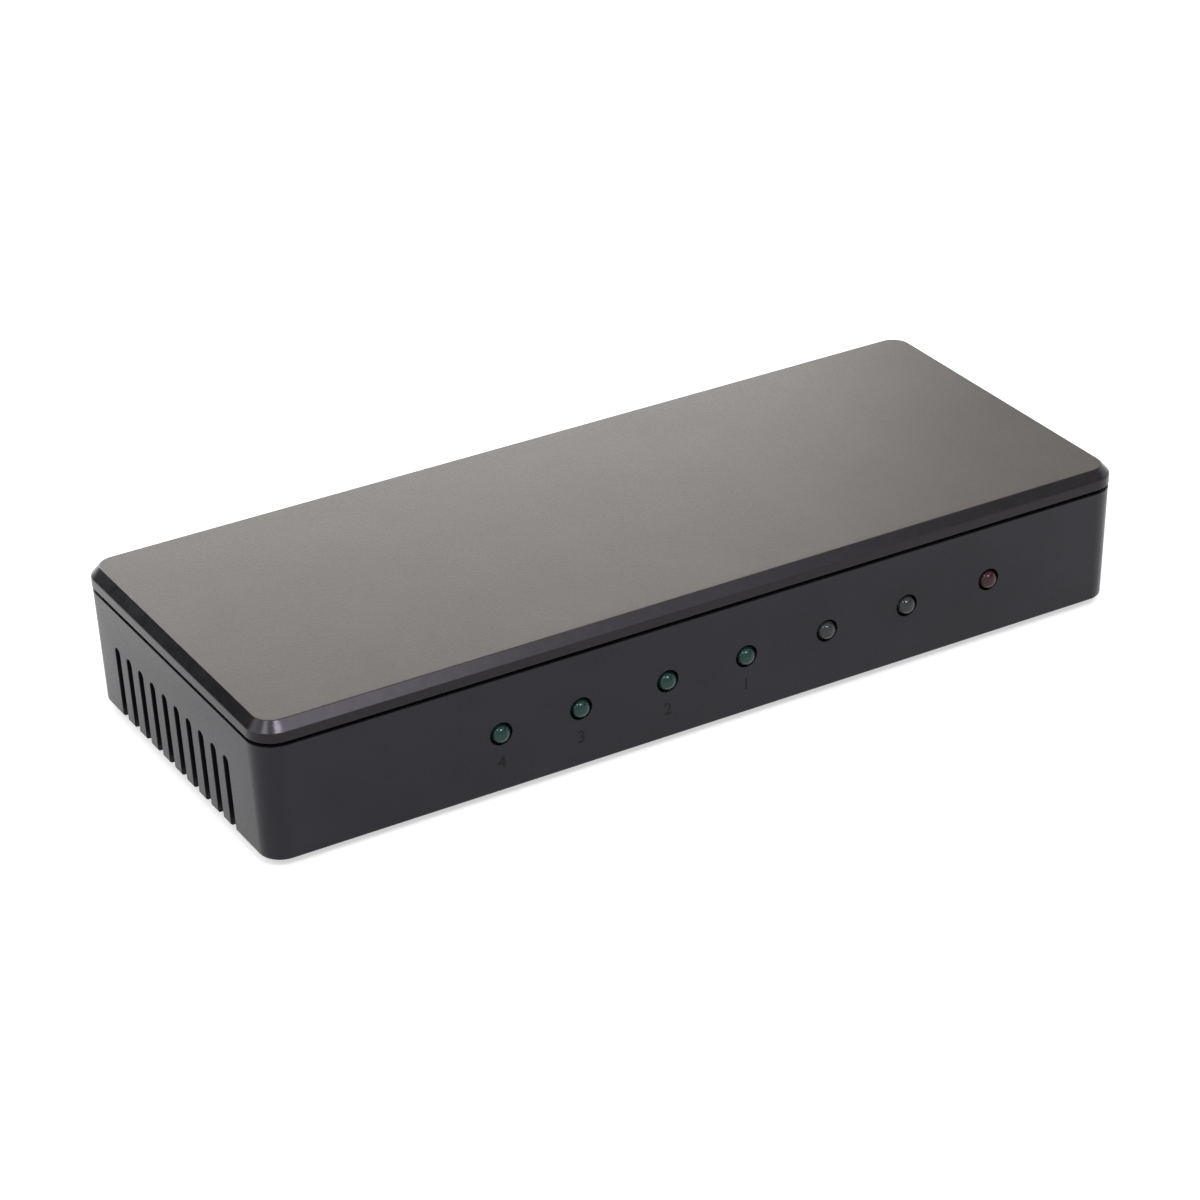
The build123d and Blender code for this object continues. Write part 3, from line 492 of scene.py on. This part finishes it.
# The CAD nodes whose shape stays, each with its finish
keptNodes = {
    "circuit_board": "boardMask", "lamp_legs": "tinnedWire", "lamp_holders": "lampHolder",
    "power_jack_pin": "tinnedWire", "power_jack_spring": "tinnedWire",
    "splitter_chip": "chipResin", "splitter_chip_leads": "tinnedWire", "thermal_pad": "siliconePad",
    "heat_sink": "anodisedSink", "memory_chips": "chipResin", "memory_chip_leads": "tinnedWire",
    "protection_arrays": "chipResin", "regulator": "chipResin", "regulator_leads": "tinnedWire",
    "crystal": "drawnCan", "capacitor_bases": "lampHolder", "electrolytic_capacitors": "drawnCan",
    "inductor_frame": "firedFerrite", "inductor_core": "firedFerrite", "chip_capacitors": "firedCeramic",
    "chip_resistors": "chipResin", "board_screws": "zincScrew", "case_screws": "zincScrew",
    "rubber_feet": "footRubber",
}
keptNodes.update({name + "_contacts": "goldFlash" for name in socketNames})
for node, finishName in keptNodes.items():
    piece = cadNodes[node]
    if not piece.material_slots:
        piece.data.materials.append(None)
    for place in piece.material_slots:
        place.link = "OBJECT"
        place.material = finishes[finishName]
print("kept nodes finished,", len(keptNodes))


# Floor and world: white to the eye and in reflections, plain to the object, with the shadow kept
studioLook = {
    "floorSide": 6.0, "floorDrop": 0.02, "floorColour": (0.80, 0.80, 0.80), "floorLift": 0.55,
    "worldForObject": 0.55, "worldToEye": 1.0,
}


# 1 for rays that the eye, a gloss or a glass sends, 0 for the rest
def seenRays(tree):
    rays = tree.nodes.new("ShaderNodeLightPath")
    total = rays.outputs["Is Camera Ray"]
    for other in ("Is Glossy Ray", "Is Transmission Ray"):
        larger = tree.nodes.new("ShaderNodeMath")
        larger.operation = "MAXIMUM"
        tree.links.new(total, larger.inputs[0])
        tree.links.new(rays.outputs[other], larger.inputs[1])
        total = larger.outputs[0]
    return total


def buildFloor(look):
    bm = bmesh.new()
    bmesh.ops.create_grid(bm, x_segments=1, y_segments=1, size=look["floorSide"] / 2)
    bmesh.ops.translate(bm, vec=(0, 0, -look["floorDrop"] * mm), verts=bm.verts)
    floor = meshObject("floor", bm)
    material = bpy.data.materials.new("paleFloor")
    material.use_nodes = True
    tree = material.node_tree
    tree.nodes.clear()
    diffuse = tree.nodes.new("ShaderNodeBsdfDiffuse")
    diffuse.inputs["Color"].default_value = (*look["floorColour"], 1)
    lift = tree.nodes.new("ShaderNodeEmission")
    strength = tree.nodes.new("ShaderNodeMath")
    strength.operation = "MULTIPLY"
    strength.inputs[1].default_value = look["floorLift"]
    tree.links.new(seenRays(tree), strength.inputs[0])
    tree.links.new(strength.outputs[0], lift.inputs["Strength"])
    both = tree.nodes.new("ShaderNodeAddShader")
    tree.links.new(diffuse.outputs[0], both.inputs[0])
    tree.links.new(lift.outputs[0], both.inputs[1])
    output = tree.nodes.new("ShaderNodeOutputMaterial")
    tree.links.new(both.outputs[0], output.inputs["Surface"])
    floor.data.materials.append(material)


def buildWorld(look):
    world = bpy.data.worlds.new("paleRoom")
    bpy.context.scene.world = world
    world.use_nodes = True
    tree = world.node_tree
    background = tree.nodes["Background"]
    background.inputs["Color"].default_value = (1, 1, 1, 1)
    level = tree.nodes.new("ShaderNodeMapRange")
    level.inputs["To Min"].default_value = look["worldForObject"]
    level.inputs["To Max"].default_value = look["worldToEye"]
    tree.links.new(seenRays(tree), level.inputs["Value"])
    tree.links.new(level.outputs["Result"], background.inputs["Strength"])


buildFloor(studioLook)
buildWorld(studioLook)

# Soft boxes: place and size in metres, brightness as a share of white
softBoxes = {
    "behindBox": {"place": (0.04, 0.26, 0.085), "size": (0.34, 0.12), "brightness": 3.6},
    "leftBox": {"place": (-0.95, 0.10, 0.42), "size": (0.8, 0.6), "brightness": 0.7},
    "leftLamp": {"place": (-0.56, -0.23, 0.79), "size": (0.24, 0.24), "brightness": 5.5},
    "frontLamp": {"place": (-0.08, -0.56, 0.82), "size": (0.30, 0.26), "brightness": 11.0},
    "bevelBox": {"place": (0.16, -0.60, 0.77), "size": (0.32, 0.24), "brightness": 2.2},
}


def buildSoftBox(name, look):
    lamp = bpy.data.lights.new(name, "AREA")
    lamp.shape = "RECTANGLE"
    lamp.size, lamp.size_y = look["size"]
    lamp.energy = look["brightness"] * math.pi * look["size"][0] * look["size"][1]
    box = bpy.data.objects.new(name, lamp)
    box.location = look["place"]
    box.rotation_mode = "QUATERNION"
    box.rotation_quaternion = (-Vector(look["place"])).to_track_quat("-Z", "Y")
    box.visible_camera = False
    bpy.context.scene.collection.objects.link(box)


for name, look in softBoxes.items():
    buildSoftBox(name, look)

# Dark cards that only a gloss sees, for the dark parts of the polished bevel
darkCards = {
    "backLeftCard": {"place": (-0.47, 0.68, 0.34), "size": (0.55, 0.34), "tone": 0.02},
    "frontRightCard": {"place": (0.40, -0.26, 0.32), "size": (0.42, 0.18), "tone": 0.40},
}


def buildDarkCard(name, look):
    bm = bmesh.new()
    bmesh.ops.create_grid(bm, x_segments=1, y_segments=1, size=1 / 2)
    bmesh.ops.scale(bm, vec=(*look["size"], 1), verts=bm.verts)
    facing = (-Vector(look["place"])).to_track_quat("Z", "Y")
    bmesh.ops.rotate(bm, verts=bm.verts, cent=(0, 0, 0), matrix=facing.to_matrix())
    bmesh.ops.translate(bm, vec=look["place"], verts=bm.verts)
    card = meshObject(name, bm)
    material = bpy.data.materials.new(name)
    material.use_nodes = True
    shader = material.node_tree.nodes["Principled BSDF"]
    shader.inputs["Base Color"].default_value = (look["tone"], look["tone"], look["tone"], 1)
    shader.inputs["Roughness"].default_value = 1.0
    card.data.materials.append(material)
    card.visible_camera = False
    card.visible_diffuse = False
    card.visible_transmission = False
    card.visible_shadow = False


for name, look in darkCards.items():
    buildDarkCard(name, look)

# Camera, fitted to the photograph's straight edges
cameraLook = {
    "place": (-254.04, -441.91, 284.45), "along": (0.43567, 0.76401, -0.47589),
    "rollDegrees": -1.706, "lens": 113.869, "sensor": 36.0, "clipStart": 0.01,
}
cameraData = bpy.data.cameras.new("photoCamera")
cameraData.lens = cameraLook["lens"]
cameraData.sensor_width = cameraLook["sensor"]
cameraData.clip_start = cameraLook["clipStart"]
camera = bpy.data.objects.new("photoCamera", cameraData)
camera.location = Vector(cameraLook["place"]) * mm
camera.rotation_mode = "QUATERNION"
roll = Quaternion((0, 0, 1), math.radians(cameraLook["rollDegrees"]))
camera.rotation_quaternion = Vector(cameraLook["along"]).to_track_quat("-Z", "Y") @ roll
bpy.context.scene.collection.objects.link(camera)
bpy.context.scene.camera = camera
bpy.context.scene.view_settings.view_transform = "Standard"
print("studio and camera ready")
